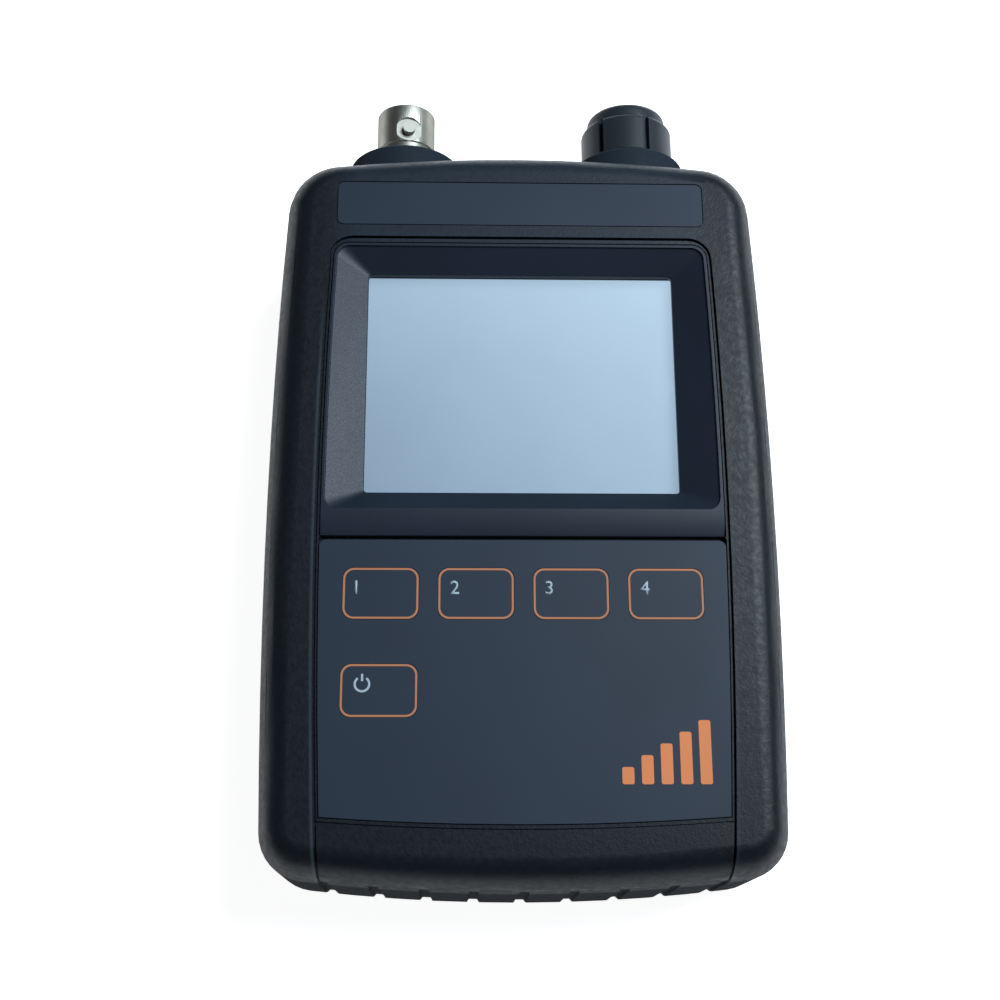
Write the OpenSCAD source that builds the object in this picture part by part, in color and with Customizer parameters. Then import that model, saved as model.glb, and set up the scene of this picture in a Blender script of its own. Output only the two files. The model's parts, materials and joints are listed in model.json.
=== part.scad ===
// Handheld antenna analyzer: a two-piece moulded housing that lies on its back, with a
// deep-set display, a membrane keypad, a BNC jack and a tuning knob on the top end.
// X runs across the face, Y along it towards the jack and knob, Z out of the display.
// The origin is the middle of the flat back face.

/* [Body] */
// Width across the middle of the housing
body_w = 77.6; // [74:0.2:88]
// Length of the housing, without jack and knob
body_l = 116; // [111:0.5:128]
// Thickness from the back face to the front face
body_t = 30; // [28:0.5:36]
// Radius of the bowed long sides
side_r = 1060; // [600:10:2000]
// How far the widest place lies below the middle of the housing
side_low = 6.4; // [0:0.2:10]
// Radius of the bowed top end
top_r = 265; // [200:5:600]
// Radius of the bowed bottom end
bottom_r = 275; // [180:5:600]
// Radius of the upper corners, seen from the front
corner_r = 9; // [8:0.5:12]
// Radius of the lower corners, seen from the front
low_corner_r = 7; // [6.5:0.5:12]
// How far the front edge rounding reaches inwards
edge_w = 4.6; // [3:0.1:5.2]
// Height of the front edge rounding
edge_h = 6.5; // [4:0.5:8]
// How far the rounding of the back edge reaches inwards
back_edge = 3.6; // [2:0.2:4.5]
// How far the side walls lean in towards the front
side_draft = 0.35; // [0.1:0.05:0.6]
// Wall thickness of both covers
wall = 2.2; // [1.8:0.1:2.6]
// Thickness of the front face
face = 3; // [2.6:0.1:3.6]
// Height of the joint between the covers above the back face
split_z = 5; // [4.4:0.1:5.6]
// Height of the locating tongue on the rear cover
tongue_h = 1.6; // [1:0.1:2]
// Thickness of the locating tongue
tongue_t = 1; // [0.8:0.05:1.1]
// Clearance between parts that slot together
gap = 0.12; // [0.08:0.01:0.2]

/* [Grip] */
// Number of grip grooves on each long side
side_grooves = 10; // [3:1:10]
// Pitch of the side grooves
side_pitch = 9.7; // [8:0.1:10]
// How far the middle side groove lies below the middle of the body
side_drop = 2; // [0:0.1:4]
// Number of grip grooves on the bottom end
end_grooves = 9; // [3:1:9]
// Pitch of the bottom grooves
end_pitch = 7.1; // [5:0.1:7.2]
// Width of a grip groove at the surface
groove_w = 2.1; // [1.2:0.1:3]
// Depth of a grip groove on the bottom end
end_groove_d = 0.6; // [0.3:0.05:0.7]
// Depth of a grip groove on the sides
side_groove_d = 0.35; // [0.2:0.05:0.6]
// Height of the lower end of the grip grooves
groove_foot = 1; // [0.6:0.1:2]
// Width of a grip rail, from the side of the housing to the seam line
rail_w = 8.4; // [8:0.05:9]
// Radius of the bowed seam lines
seam_r = 930; // [600:10:3000]
// Width of the seam line
seam_w = 0.3; // [0.2:0.05:0.5]
// Depth of the seam line below the middle panel
seam_d = 0.35; // [0.2:0.05:0.5]
// How far the middle panel lies below the grip rails
panel_sink = 0.35; // [0.1:0.05:0.5]

/* [Display] */
// Width of the display window
window_w = 47.5; // [44:0.1:49]
// Height of the display window
window_h = 35.9; // [33:0.1:37]
// Distance from the top end of the housing to the middle of the window
window_drop = 39.75; // [39:0.05:42]
// Depth of the clear lens below the middle panel
window_sink = 3.4; // [3:0.05:3.6]
// Height of the upright wall round the window
lip_h = 1; // [0.6:0.1:1.4]
// Land between the seam line and the bezel
bezel_land = 0.4; // [0.35:0.05:0.6]
// Height of the bezel above the window
bezel_above = 4.35; // [4.2:0.05:4.6]
// Height of the bezel below the window
bezel_below = 7.3; // [6.5:0.1:9]
// Land between the seam line and the top of the bezel
top_land = 0.7; // [0.4:0.05:0.8]
// Corner radius of the bezel's upper corners
bezel_r = 2.3; // [1.5:0.1:3]
// Flat rim of the bezel at the top and sides
bezel_rim = 0.5; // [0.4:0.05:1]
// Band of the bezel below the window's sloping wall
bezel_band = 4.1; // [3.5:0.05:5]
// How far the band falls away towards the keypad
band_fall = 0.5; // [0.2:0.05:0.7]
// Thickness of the bezel's flange
bezel_flange = 1.4; // [1.2:0.1:1.6]
// Thickness of the clear lens
lens_t = 1; // [0.8:0.1:1.1]
// Margin of the lens round the window
lens_edge = 2; // [1.5:0.1:2.2]
// Wall of the bezel round the lens
skirt_t = 0.8; // [0.6:0.05:1]
// Thickness of the gasket behind the lens
gasket_t = 0.4; // [0.3:0.05:0.6]

/* [Keypad] */
// Margin from the side of the keypad to the first key
key_margin = 3.7; // [2.5:0.1:4]
// Space between neighbouring keys of the upper row
key_gap = 2.85; // [2:0.05:3.2]
// Height of a key, measured over its printed frame
key_h = 7.6; // [7:0.05:9]
// Corner radius of a key
key_r = 1.3; // [0.8:0.1:2]
// Distance from the bezel to the middle of the upper row
row_drop = 8.8; // [7.5:0.1:10]
// Distance between the upper and the lower row
row_pitch = 14.2; // [13:0.1:15]
// Distance from the keypad to the bottom end of the housing
keypad_end = 9.3; // [8.5:0.05:12]
// Radius of the keypad's bowed bottom edge
keypad_r = 400; // [250:10:800]
// Land between the seam line and the keypad
keypad_land = 0.35; // [0.3:0.05:0.6]
// Gap between the bezel and the keypad
keypad_gap = 0.7; // [0.3:0.05:0.8]
// Ledge left bare below the keypad
keypad_ledge = 0.6; // [0.3:0.05:1]
// Depth of the overlay below the middle panel
film_sink = 0.1; // [0.05:0.05:0.2]
// Thickness of the printed overlay
film_t = 0.4; // [0.3:0.05:0.5]
// Travel of a key
key_travel = 0.4; // [0.2:0.05:0.4]
// Thickness of the spacer that holds the keys off their domes
spacer_t = 0.8; // [0.75:0.05:0.9]
// Thickness of the keypad's circuit film
circuit_t = 0.2; // [0.1:0.05:0.3]
// Diameter of a snap dome
dome_d = 6; // [5:0.5:7]
// Width of the keypad's tail
tail_w = 12; // [8:0.5:16]
// Thickness of the keypad's tail
tail_t = 0.3; // [0.2:0.05:0.4]

/* [Name plate] */
// Distance from the side of the housing to the plate above the display
plate_margin = 10.1; // [9.8:0.05:12]
// Height of the plate
plate_h = 7.4; // [6:0.1:7.6]
// Distance from the top end of the housing to the middle of the plate
plate_drop = 10.7; // [10:0.05:13]
// Thickness of the plate
plate_t = 0.3; // [0.2:0.05:0.4]

/* [Connector] */
// Distance of the jack's and the knob's middle from the side of the housing
port_inset = 20; // [19.2:0.1:21.5]
// Radius of the raised collars on the top end
collar_r = 9.3; // [8.8:0.1:9.6]
// Height of the collars above the top end
collar_h = 3.4; // [3:0.1:4]
// Diameter of the jack's barrel
barrel_d = 9.7; // [9.6:0.02:9.8]
// How much slimmer the barrel is behind its front band, measured on the radius
barrel_neck = 0.3; // [0.25:0.05:0.4]
// Length of the jack above its collar
barrel_l = 10.3; // [10:0.1:10.8]
// Distance of the bayonet lugs from the open end
lug_drop = 4.75; // [4.6:0.05:5.2]
// Diameter of a bayonet lug
lug_d = 2; // [1.95:0.01:2.1]
// Diameter of the flat that is milled round each lug
lug_flat_d = 4.4; // [4:0.1:4.8]
// Distance across both bayonet lugs
lug_span = 11; // [10.9:0.02:11.1]
// Angle of the front lug away from straight ahead
lug_turn = 8; // [0:1:15]

/* [Knob] */
// Diameter over the knob's grip lobes
knob_d = 15.3; // [14.6:0.1:15.6]
// Height of the knob
knob_h = 9.4; // [8.8:0.1:10]
// Diameter of the knob's top
knob_top_d = 13.2; // [12.6:0.1:13.6]
// Number of grip lobes
lobes = 6; // [5:1:8]
// Angle of the first slot away from straight ahead
slot_turn = 20; // [0:1:60]
// Width of the slots between the lobes
lobe_slot = 1.1; // [0.7:0.1:1.5]
// Gap between knob and collar
knob_gap = 0.5; // [0.4:0.05:0.8]
// Diameter of the encoder shaft
shaft_d = 6; // [5.8:0.05:6.1]
// Radial clearance of the shaft in its bushing
shaft_gap = 0.05; // [0.03:0.01:0.08]

/* [Inside] */
// Thickness of the main board
board_t = 1.6; // [1.2:0.2:1.8]
// Gap between the main board and the side walls
board_gap = 2.5; // [2:0.1:4]
// Margin of the display module beside the window
lcd_margin_w = 6.35; // [5:0.05:6.5]
// Margin of the display module above and below the window
lcd_margin_h = 3.3; // [2.8:0.1:3.5]
// Thickness of the display module
lcd_t = 3.1; // [2.8:0.1:3.2]
// Thickness of the display's glass panel
panel_t = 1.1; // [0.9:0.1:1.3]
// Thickness of the foam tape between the display and the main board
tape_t = 0.7; // [0.5:0.1:1]
// Width of the display's flat cable
flex_w = 18; // [14:0.5:20]
// Width of the battery pack
battery_w = 44; // [36:1:48]
// Length of the battery pack
battery_l = 50; // [40:1:52]
// Thickness of the battery pack
battery_t = 8; // [6:0.5:9]
// Distance from the bottom end of the housing to the battery pack
battery_end = 10; // [8:0.5:12]
// Thickness of the pad under the battery pack
pad_t = 0.5; // [0.3:0.1:1]
// Play of the battery pack between its ribs
battery_play = 0.3; // [0.2:0.05:0.5]
// Thickness of a rib
rib_t = 1.2; // [1:0.1:1.6]
// Height of the ribs round the battery pack
rib_h = 3.8; // [3:0.1:5]
// Width of the charging socket
usb_w = 7.7; // [7.5:0.1:8]
// Height of the charging socket
usb_h = 3.9; // [3.7:0.1:4.2]
// Length of the charging socket
usb_l = 9.2; // [8.5:0.1:9.6]
// Distance from the top end of the housing to the charging socket
usb_drop = 38.7; // [36:0.1:42]
// How deep the charging socket lies in its opening
usb_sink = 0.9; // [0.7:0.1:1.2]
// Width of the shield can
shield_w = 34; // [28:1:36]
// Length of the shield can
shield_l = 26; // [20:1:28]
// Height of the shield can
shield_h = 5; // [4:0.2:5.4]
// Width of the processor
chip_w = 14; // [10:0.5:15]
// Height of the processor
chip_h = 1.4; // [1:0.1:2]
// Diameter of the buzzer
buzzer_d = 9; // [8:0.5:10]
// Height of the buzzer
buzzer_h = 4; // [3:0.5:5]
// Width of the encoder's case
encoder_w = 12.4; // [11:0.1:13]
// Depth of the encoder's case
encoder_l = 6.5; // [5:0.1:7]
// Thickness of the encoder's board
encoder_board_t = 1.2; // [0.8:0.1:1.6]
// Length of the case screws
screw_l = 12; // [10:0.5:14]
// Diameter of the case screws
screw_d = 3; // [2.5:0.1:3.2]
// Distance from the side walls to the middle of a case screw
boss_inset = 6.5; // [6:0.1:7]
// Distance from the end walls to the middle of a case screw
boss_drop = 9.4; // [9:0.1:11]
// Radius of the screw bosses
boss_r = 3.6; // [3.4:0.1:4]

/* [Hidden] */
$fn = 48;

eps = 0.01;
half_w = body_w / 2;
half_l = body_l / 2;
side_c = [half_w - side_r, -side_low];

// Heights, from the front face down
inner_z = body_t - face;
panel_z = body_t - panel_sink;
film_z = panel_z - film_sink - film_t;
spacer_z = film_z - spacer_t;
circuit_z = spacer_z - circuit_t;
lens_z = panel_z - window_sink - lens_t;
lcd_z = lens_z - gasket_t - lcd_t;
board_top_z = lcd_z - tape_t;
board_z = board_top_z - board_t;

// Places on the face
window_y = half_l - window_drop;
window_top = window_y + window_h / 2;
window_bottom = window_y - window_h / 2;
bezel_top = window_top + bezel_above;
bezel_bottom = window_bottom - bezel_below;
seam_half = half_w - rail_w;
seam_top = bezel_top + top_land + seam_w / 2;
rim_top = bezel_top - bezel_rim;
rim_bottom = bezel_bottom + bezel_band;
rim_r = bezel_r - 0.4;
lens_w = window_w + 2 * lens_edge;
lens_h = window_h + 2 * lens_edge;
skirt_w = lens_w + 2 * (gap + skirt_t);
skirt_h = lens_h + 2 * (gap + skirt_t);
keypad_half = seam_half - seam_w / 2 - keypad_land;
keypad_top = bezel_bottom - keypad_gap;
keypad_bottom = keypad_end - half_l;
key_w = (2 * (keypad_half - key_margin) - 3 * key_gap) / 4;
row_y = bezel_bottom - row_drop;
tail_y = row_y - row_pitch / 2;
plate_w = body_w - 2 * plate_margin;
plate_y = half_l - plate_drop;

// Middle of each key: the upper row, then the power key below its first one
KEYS = concat(
    [for (i = [-1.5:1:1.5]) [i * (key_w + key_gap), row_y]],
    [[-1.5 * (key_w + key_gap), row_y - row_pitch]]
);

// The two collars on the top end, and the flat pads behind them
port_x = half_w - port_inset;
port_z = body_t / 2;
collar_top = half_l + collar_h;
pad_r = collar_r - 0.9;
pad_y = half_l - wall - top_drop(port_x + pad_r) - 0.2;
barrel_r = barrel_d / 2;
neck_r = barrel_r - barrel_neck;
flange_t = 1.4;
flange_r = barrel_r + 1.45;
jack_end = collar_top + barrel_l;
bore_r = barrel_r - 0.8;
sleeve_gap = 0.85;
bore_deep = barrel_l - 1.7;
core_r = bore_r - sleeve_gap;
contact_r = 1.1;
nut_t = 2.4;
washer_t = 0.8;
rear_y = pad_y - washer_t - nut_t - 1.2;
bushing_r = 3.5;
bushing_l = 2.9;
knob_y = collar_top + knob_gap;
encoder_nut_r = 5.77;
encoder_nut_t = 2;
encoder_washer_t = 0.5;
encoder_back = pad_y - encoder_l - encoder_board_t;
shaft_end = knob_y + knob_h - 1.7;
shaft_flat = 1.4;

// Bosses, screws and inserts
boss_x = half_w - wall - boss_inset;
boss_y = half_l - wall - boss_drop;
boss_z = split_z + 2;
screw_z = 0.6;
insert_r = screw_d / 2 + 0.6;
insert_l = 5;
head_r = screw_d * 0.9;
head_h = screw_d * 0.6;

// Display module, main board and what it carries
lcd_w = window_w + 2 * lcd_margin_w;
lcd_h = window_h + 2 * lcd_margin_h;
lcd_top = window_y + lcd_h / 2;
lcd_bottom = window_y - lcd_h / 2;
lcd_rim = 1.5;
flex_socket_y = lcd_bottom - 8;
board_w = body_w - 2 * (wall + board_gap);
post_r = 2.3;
post_y = lcd_top + post_r + 1.5;
board_top = post_y + post_r + 0.35;
board_bottom = 7.5 - half_l;
board_screw_r = 0.95;
board_head_r = 1.9;
board_head_h = 1.2;
board_grip = 3;
flex_t = 0.3;
flex_run = 1.5;
flex_bend = 2.5;
flex_tuck = 0.6;
POSTS = [
    for (s = [-1, 1]) [s * 8, post_y],
    for (s = [-1, 1]) [s * (board_w / 2 - post_r), board_bottom + 18.5],
];
shield_x = shield_w / 2 - board_w / 2 + 3.2;
shield_y = post_y - board_head_r - 1 - shield_l / 2;
chip_x = shield_x + shield_w / 2 + chip_w / 2 + 5;
usb_x = half_w - usb_sink - usb_l;
usb_y = half_l - usb_drop;
battery_y = battery_l / 2 + battery_end - half_l;
battery_z = wall + pad_t;
plug_w = 7.5;
plug_h = 4;
plug_x = -20;
plug_y = shield_y - shield_l / 2 - 6;
lead_r = 0.6;

// ---------------------------------------------------------------- plan outline

// Points along an arc
function arc(centre, r, from, to, steps) =
    let (turn = (to - from) / steps)
    [for (i = [0:steps]) centre + r * [cos(from + turn * i), sin(from + turn * i)]];

function drop_last(list) = [for (i = [0:len(list) - 2]) list[i]];
function drop_first(list) = [for (i = [1:len(list) - 1]) list[i]];
function backwards(list) = [for (i = [len(list) - 1:-1:0]) list[i]];
function flip(list, sx, sy) = [for (p = list) [sx * p.x, sy * p.y]];

// Where two circles cross, on the left of the line from the first centre to the second
function crossing(c1, r1, c2, r2) =
    let (d = norm(c2 - c1), u = (c2 - c1) / d, a = (r1 * r1 - r2 * r2 + d * d) / (2 * d))
    c1 + a * u + sqrt(r1 * r1 - a * a) * [-u.y, u.x];

// A quarter of the outline, from the middle of the side to the middle of the end, moved in by inset.
// The side's arc is centred at height side_y, and r is the corner's radius.
function quarter(side_y, end_r, r, inset) =
    let (
        long_c = [side_c.x, side_y],
        end_c = [0, half_l - end_r],
        c = crossing(long_c, side_r - r, end_c, end_r - r),
        a = atan2(c.y - side_y, c.x - side_c.x),
        b = atan2(c.y - end_c.y, c.x - end_c.x)
    )
    concat(
        arc(long_c, side_r - inset, asin(-side_y / (side_r - inset)), a, 5),
        drop_first(arc(c, r - inset, a, b, 8)),
        drop_first(arc(end_c, end_r - inset, b, 90, 5))
    );

function plan(inset) =
    let (
        top = quarter(-side_low, top_r, corner_r, inset),
        bottom = quarter(side_low, bottom_r, low_corner_r, inset)
    )
    concat(
        drop_last(top),
        drop_last(backwards(flip(top, -1, 1))),
        drop_last(flip(bottom, -1, -1)),
        drop_last(backwards(flip(bottom, 1, -1)))
    );

// A solid through outlines at different heights: each level is [height, inset]
module loft(levels) {
    n = len(plan(0));
    m = len(levels);
    points = [for (level = levels, p = plan(level[1])) [p.x, p.y, level[0]]];
    sides = [
        for (k = [0:m - 2], i = [0:n - 1])
            [k * n + i, (k + 1) * n + i, (k + 1) * n + (i + 1) % n, k * n + (i + 1) % n],
    ];
    bottom = [for (i = [0:n - 1]) i];
    top = [for (i = [n - 1:-1:0]) (m - 1) * n + i];
    polyhedron(points, concat([bottom], sides, [top]));
}

// Levels of the front cover's outside, lowered by sink and moved in by inset
function front_levels(sink, inset) = concat(
    [[split_z, inset]],
    [
        for (a = [0:15:90])
            [body_t - sink - edge_h * (1 - sin(a)), side_draft + inset + edge_w * (1 - cos(a))],
    ]
);

// How far the bowed top end lies below its middle at x
function top_drop(x) = top_r - sqrt(top_r * top_r - x * x);

// Half of the distance between the seam lines at y
function seam_x(y) = seam_half - seam_r + sqrt(seam_r * seam_r - y * y);

// The middle strip of the face, between bowed sides that lie inset from the seam lines,
// from past the bottom end up to top
function strip(inset, top, r) =
    let (
        c = [seam_half - seam_r, 0],
        low = asin((-half_l - 2) / (seam_r - inset)),
        high = asin((top - r) / (seam_r - inset)),
        right = concat(
            arc(c, seam_r - inset, low, high, 12),
            drop_first(arc([seam_x(top - r) - inset - r, top - r], r, 0, 90, 6))
        )
    )
    concat(right, backwards(flip(right, -1, 1)));

function rounded_rect(w, h, r) = concat(
    arc([w / 2 - r, h / 2 - r], r, 0, 90, 5),
    arc([r - w / 2, h / 2 - r], r, 90, 180, 5),
    arc([r - w / 2, r - h / 2], r, 180, 270, 5),
    arc([w / 2 - r, r - h / 2], r, 270, 360, 5)
);

module slab(w, h, r, z, t) {
    translate([0, 0, z]) linear_extrude(t) polygon(rounded_rect(w, h, r));
}

module block(w, l, z, t) {
    translate([-w / 2, -l / 2, z]) cube([w, l, t]);
}

// A cylinder along +Y that starts at y
module along_y(r, y, l) {
    translate([0, y, 0]) rotate([-90, 0, 0]) cylinder(h = l, r = r);
}

module at_jack() {
    translate([-port_x, 0, port_z]) children();
}

module at_knob() {
    translate([port_x, 0, port_z]) children();
}

module at_bosses() {
    for (x = [-boss_x, boss_x], y = [-boss_y, boss_y]) translate([x, y, 0]) children();
}

module at_posts() {
    for (p = POSTS) translate(p) children();
}

// A round tube that follows a route
function ring(p, along, r, sides) =
    let (
        t = along / norm(along),
        a = cross(t, abs(t.z) < 0.9 ? [0, 0, 1] : [1, 0, 0]),
        u = a / norm(a),
        v = cross(t, u)
    )
    [for (i = [0:sides - 1]) p + r * (cos(360 * i / sides) * u + sin(360 * i / sides) * v)];

module tube(route, r, sides = 8) {
    m = len(route);
    points = [
        for (k = [0:m - 1])
            each ring(route[k], route[min(k + 1, m - 1)] - route[max(k - 1, 0)], r, sides),
    ];
    walls = [
        for (k = [0:m - 2], i = [0:sides - 1], half = [0, 1])
            let (a = k * sides + i, b = k * sides + (i + 1) % sides)
            half == 0 ? [a, b, b + sides] : [a, b + sides, a + sides],
    ];
    start = [for (i = [sides - 1:-1:0]) i];
    end = [for (i = [0:sides - 1]) (m - 1) * sides + i];
    polyhedron(points, concat([start], walls, [end]));
}

// ---------------------------------------------------------------- housing

module bezel_outline(grow) {
    intersection() {
        polygon(strip(seam_w / 2 + bezel_land - grow, bezel_top + grow, bezel_r + grow));
        translate([-half_w, bezel_bottom - grow]) square([body_w, body_l]);
    }
}

// The opening inside the bezel's rim, with all four corners rounded
module rim_outline() {
    w = 2 * (seam_x(rim_bottom) - seam_w / 2 - bezel_land - bezel_rim);
    intersection() {
        polygon(strip(seam_w / 2 + bezel_land + bezel_rim, rim_top, rim_r));
        translate([0, rim_bottom + half_l]) polygon(rounded_rect(w, body_l, rim_r));
    }
}

// The keypad lies between the seam lines and ends in a bow, which may be lowered
module keypad_outline(shrink, top, lower = 0) {
    intersection() {
        polygon(strip(seam_w / 2 + keypad_land + shrink, top, 1));
        translate([0, keypad_bottom + keypad_r - lower]) circle(r = keypad_r - shrink, $fn = 720);
        translate([-half_w, keypad_bottom - 2]) square([body_w, body_l]);
    }
}

// A fine line from seam to seam along the foot of the keypad's ledge
module foot_line() {
    intersection() {
        polygon(strip(0, row_y, 1));
        translate([0, keypad_bottom - keypad_ledge + keypad_r]) difference() {
            circle(r = keypad_r + seam_w, $fn = 720);
            circle(r = keypad_r, $fn = 720);
        }
    }
}

module key_outline(grow) {
    polygon(rounded_rect(key_w + 2 * grow, key_h + 2 * grow, key_r + grow));
}

module at_keys() {
    for (k = KEYS) translate([k.x, k.y, 0]) children();
}

module grip_groove(depth) {
    half = groove_w / 2;
    translate([0, 0, groove_foot])
        linear_extrude(body_t)
            polygon([[-depth, -0.6 * half], [-depth, 0.6 * half], [1, 1.4 * half], [1, -1.4 * half]]);
}

// Grooves down the sides and the bottom end, which run out on the rounded edges
module grip_grooves() {
    for (i = [0:side_grooves - 1], s = [0, 1]) {
        y = (i - (side_grooves - 1) / 2) * side_pitch - side_drop;
        mirror([s, 0, 0])
            translate(side_c)
                rotate(asin((y - side_c.y) / side_r))
                    translate([side_r, 0, 0])
                        grip_groove(side_groove_d);
    }
    for (i = [0:end_grooves - 1]) {
        x = (i - (end_grooves - 1) / 2) * end_pitch;
        translate([0, bottom_r - half_l, 0])
            rotate(-90 + asin(x / bottom_r))
                translate([bottom_r, 0, 0])
                    grip_groove(end_groove_d);
    }
}

// What is taken off the outside under a flat shape, down to a lower copy of the outside
module lowered(sink, inset) {
    difference() {
        translate([0, 0, split_z + eps]) linear_extrude(body_t) children();
        loft(front_levels(sink, inset));
    }
}

// The middle panel lies lower than the rails, and a seam line runs round it
module middle_panel() {
    lowered(panel_sink, 0) polygon(strip(-seam_w / 2, seam_top + seam_w / 2, bezel_r + 1.3));
    lowered(panel_sink + seam_d, seam_d) difference() {
        polygon(strip(-seam_w / 2, seam_top + seam_w / 2, bezel_r + 1.3));
        polygon(strip(seam_w / 2, seam_top - seam_w / 2, bezel_r + 0.9));
    }
}

module front_shell() {
    difference() {
        union() {
            loft(front_levels(0, 0));
            at_jack() collar();
            at_knob() collar();
        }
        loft([
            [split_z - 1, wall - tongue_t - gap],
            [split_z + tongue_h + gap, wall - tongue_t - gap],
            [split_z + tongue_h + gap, wall],
            [body_t - edge_h, wall + side_draft],
            [inner_z - 1, wall + 1.6],
            [inner_z, wall + edge_w - 1],
        ]);
    }
}

module collar() {
    rim = 0.7;
    base = half_l - wall - 2;
    top = collar_top - base;
    translate([0, base, 0])
        rotate([-90, 0, 0])
            rotate_extrude()
                polygon(concat(
                    [[0, 0], [collar_r + 0.3, 0]],
                    arc([collar_r - rim, top - rim], rim, 0, 90, 5),
                    [[0, top]]
                ));
}

module front_cover() color("#23282d") {
    difference() {
        union() {
            front_shell();
            at_jack() along_y(pad_r, pad_y, 4);
            at_knob() along_y(pad_r, pad_y, 4);
            at_bosses() translate([0, 0, boss_z]) cylinder(h = inner_z - boss_z + 1, r = boss_r);
            at_posts() translate([0, 0, board_top_z]) cylinder(h = inner_z - board_top_z + 1, r = post_r);
        }
        middle_panel();
        grip_grooves();
        // Seat and opening for the bezel
        translate([0, 0, panel_z - bezel_flange]) linear_extrude(face) bezel_outline(gap);
        translate([0, window_y, 0]) slab(skirt_w + 2 * gap, skirt_h + 2 * gap, 1, inner_z - 1, face + 2);
        // Recesses for the keypad and the name plate
        translate([0, 0, circuit_z]) linear_extrude(face) keypad_outline(-gap, bezel_bottom + 0.2);
        translate([0, plate_y, 0]) slab(plate_w + 2 * gap, plate_h + 2 * gap, 1 + gap, body_t - plate_t, 1);
        // Ledge below the keypad, ending in a fine groove
        translate([0, 0, panel_z - film_sink]) linear_extrude(face)
            keypad_outline(-gap, bezel_bottom + 0.2, keypad_ledge);
        translate([0, 0, panel_z - seam_d]) linear_extrude(face) foot_line();
        // Slot for the keypad's tail
        translate([0, tail_y, 0]) slab(tail_w + 1, tail_t + 1, 0.3, inner_z - 1, face);
        // Holes for the jack and the encoder
        at_jack() along_y(neck_r + gap, pad_y - 1, half_l);
        at_knob() along_y(bushing_r + gap, pad_y - 1, half_l);
        // Blind holes for the screw inserts and the board screws
        at_bosses()
            translate([0, 0, boss_z - 1])
                cylinder(h = screw_z + screw_l - boss_z + 1.5, r = insert_r);
        at_posts() translate([0, 0, board_z]) cylinder(h = board_t + board_grip + 1, r = board_screw_r);
        // Opening for the charging socket
        translate([half_w, usb_y, board_z - usb_h / 2]) rotate([0, 90, 0])
            slab(usb_h + 0.8, usb_w + 0.8, 0.8, -wall - 1.5, wall + 3);
    }
}

module rear_cover() color("#23282d") {
    difference() {
        union() {
            difference() {
                loft(concat(
                    [for (a = [90:-15:0]) [split_z * (1 - sin(a)), back_edge * (1 - cos(a))]],
                    [[split_z, wall - tongue_t], [split_z + tongue_h, wall - tongue_t]]
                ));
                loft([
                    [wall, wall + 2],
                    [wall + 1, wall + 0.6],
                    [split_z, wall],
                    [split_z + tongue_h + 1, wall]
                ]);
            }
            at_bosses() translate([0, 0, 1]) cylinder(h = boss_z - gap - 1, r = boss_r);
            battery_fence();
        }
        grip_grooves();
        // Countersunk holes for the case screws
        at_bosses() {
            translate([0, 0, -1]) cylinder(h = boss_z + 2, r = screw_d / 2 + 0.1);
            translate([0, 0, -1]) cylinder(h = screw_z + head_h + 1, r = head_r + 0.3);
        }
    }
}

// Ribs that keep the battery in place, open at the middle of each side
module battery_fence() {
    inner_w = battery_w + 2 * battery_play;
    inner_l = battery_l + 2 * battery_play;
    translate([0, battery_y, 0]) difference() {
        block(inner_w + 2 * rib_t, inner_l + 2 * rib_t, wall - 0.2, rib_h + 0.2);
        block(inner_w, inner_l, wall - 1, rib_h + 2);
        block(battery_w - 12, battery_l + 10, wall + eps, rib_h + 1);
        block(battery_w + 10, battery_l - 14, wall + eps, rib_h + 1);
    }
}

module case_screws() color("#3a3c3e") {
    at_bosses() translate([0, 0, screw_z]) difference() {
        union() {
            cylinder(h = head_h, r = head_r);
            cylinder(h = screw_l, r = screw_d / 2);
        }
        translate([0, 0, -1]) cylinder(h = 2.1, r = 1.25, $fn = 6);
    }
}

module screw_inserts() color("#b08d3e") {
    at_bosses() translate([0, 0, boss_z]) difference() {
        cylinder(h = insert_l, r = insert_r);
        translate([0, 0, -1]) cylinder(h = insert_l + 2, r = screw_d / 2);
    }
}

// ---------------------------------------------------------------- display

module display_bezel() color("#2b3036") {
    lens_top = lens_z + lens_t;
    difference() {
        union() {
            translate([0, 0, panel_z - bezel_flange]) linear_extrude(bezel_flange) bezel_outline(0);
            translate([0, window_y, 0]) slab(skirt_w, skirt_h, 1, lens_z, window_sink + lens_t - 0.2);
        }
        // Sloping walls from the rim down to the window
        hull() {
            translate([0, window_y, 0]) slab(window_w, window_h, 0.6, lens_top + lip_h, eps);
            translate([0, 0, panel_z - 0.3]) linear_extrude(eps) rim_outline();
        }
        translate([0, 0, panel_z - 0.3]) linear_extrude(1) rim_outline();
        translate([0, window_y, 0]) slab(window_w, window_h, 0.6, lens_z - 1, lens_t + lip_h + 1 + eps);
        // Rebate for the lens
        translate([0, window_y, 0]) slab(lens_w + 2 * gap, lens_h + 2 * gap, 0.5, lens_z - 1, lens_t + 1);
        falling_band();
    }
}

// What is taken off the band below the window, so that it curves down to the keypad
module falling_band() {
    r = (bezel_band * bezel_band + band_fall * band_fall) / (2 * band_fall);
    bow = asin(bezel_band / r);
    translate([-half_w, 0, 0]) rotate([90, 0, 90]) linear_extrude(body_w)
        polygon(concat(
            arc([rim_bottom, panel_z - r], r, 90, 90 + bow, 8),
            [
                [bezel_bottom - 1, panel_z - band_fall - 0.1],
                [bezel_bottom - 1, panel_z + 1],
                [rim_bottom, panel_z + 1]
            ]
        ));
}

module display_lens() color("#a9c4d6", 0.5) {
    translate([0, window_y, 0]) slab(lens_w, lens_h, 0.5, lens_z, lens_t);
}

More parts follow.
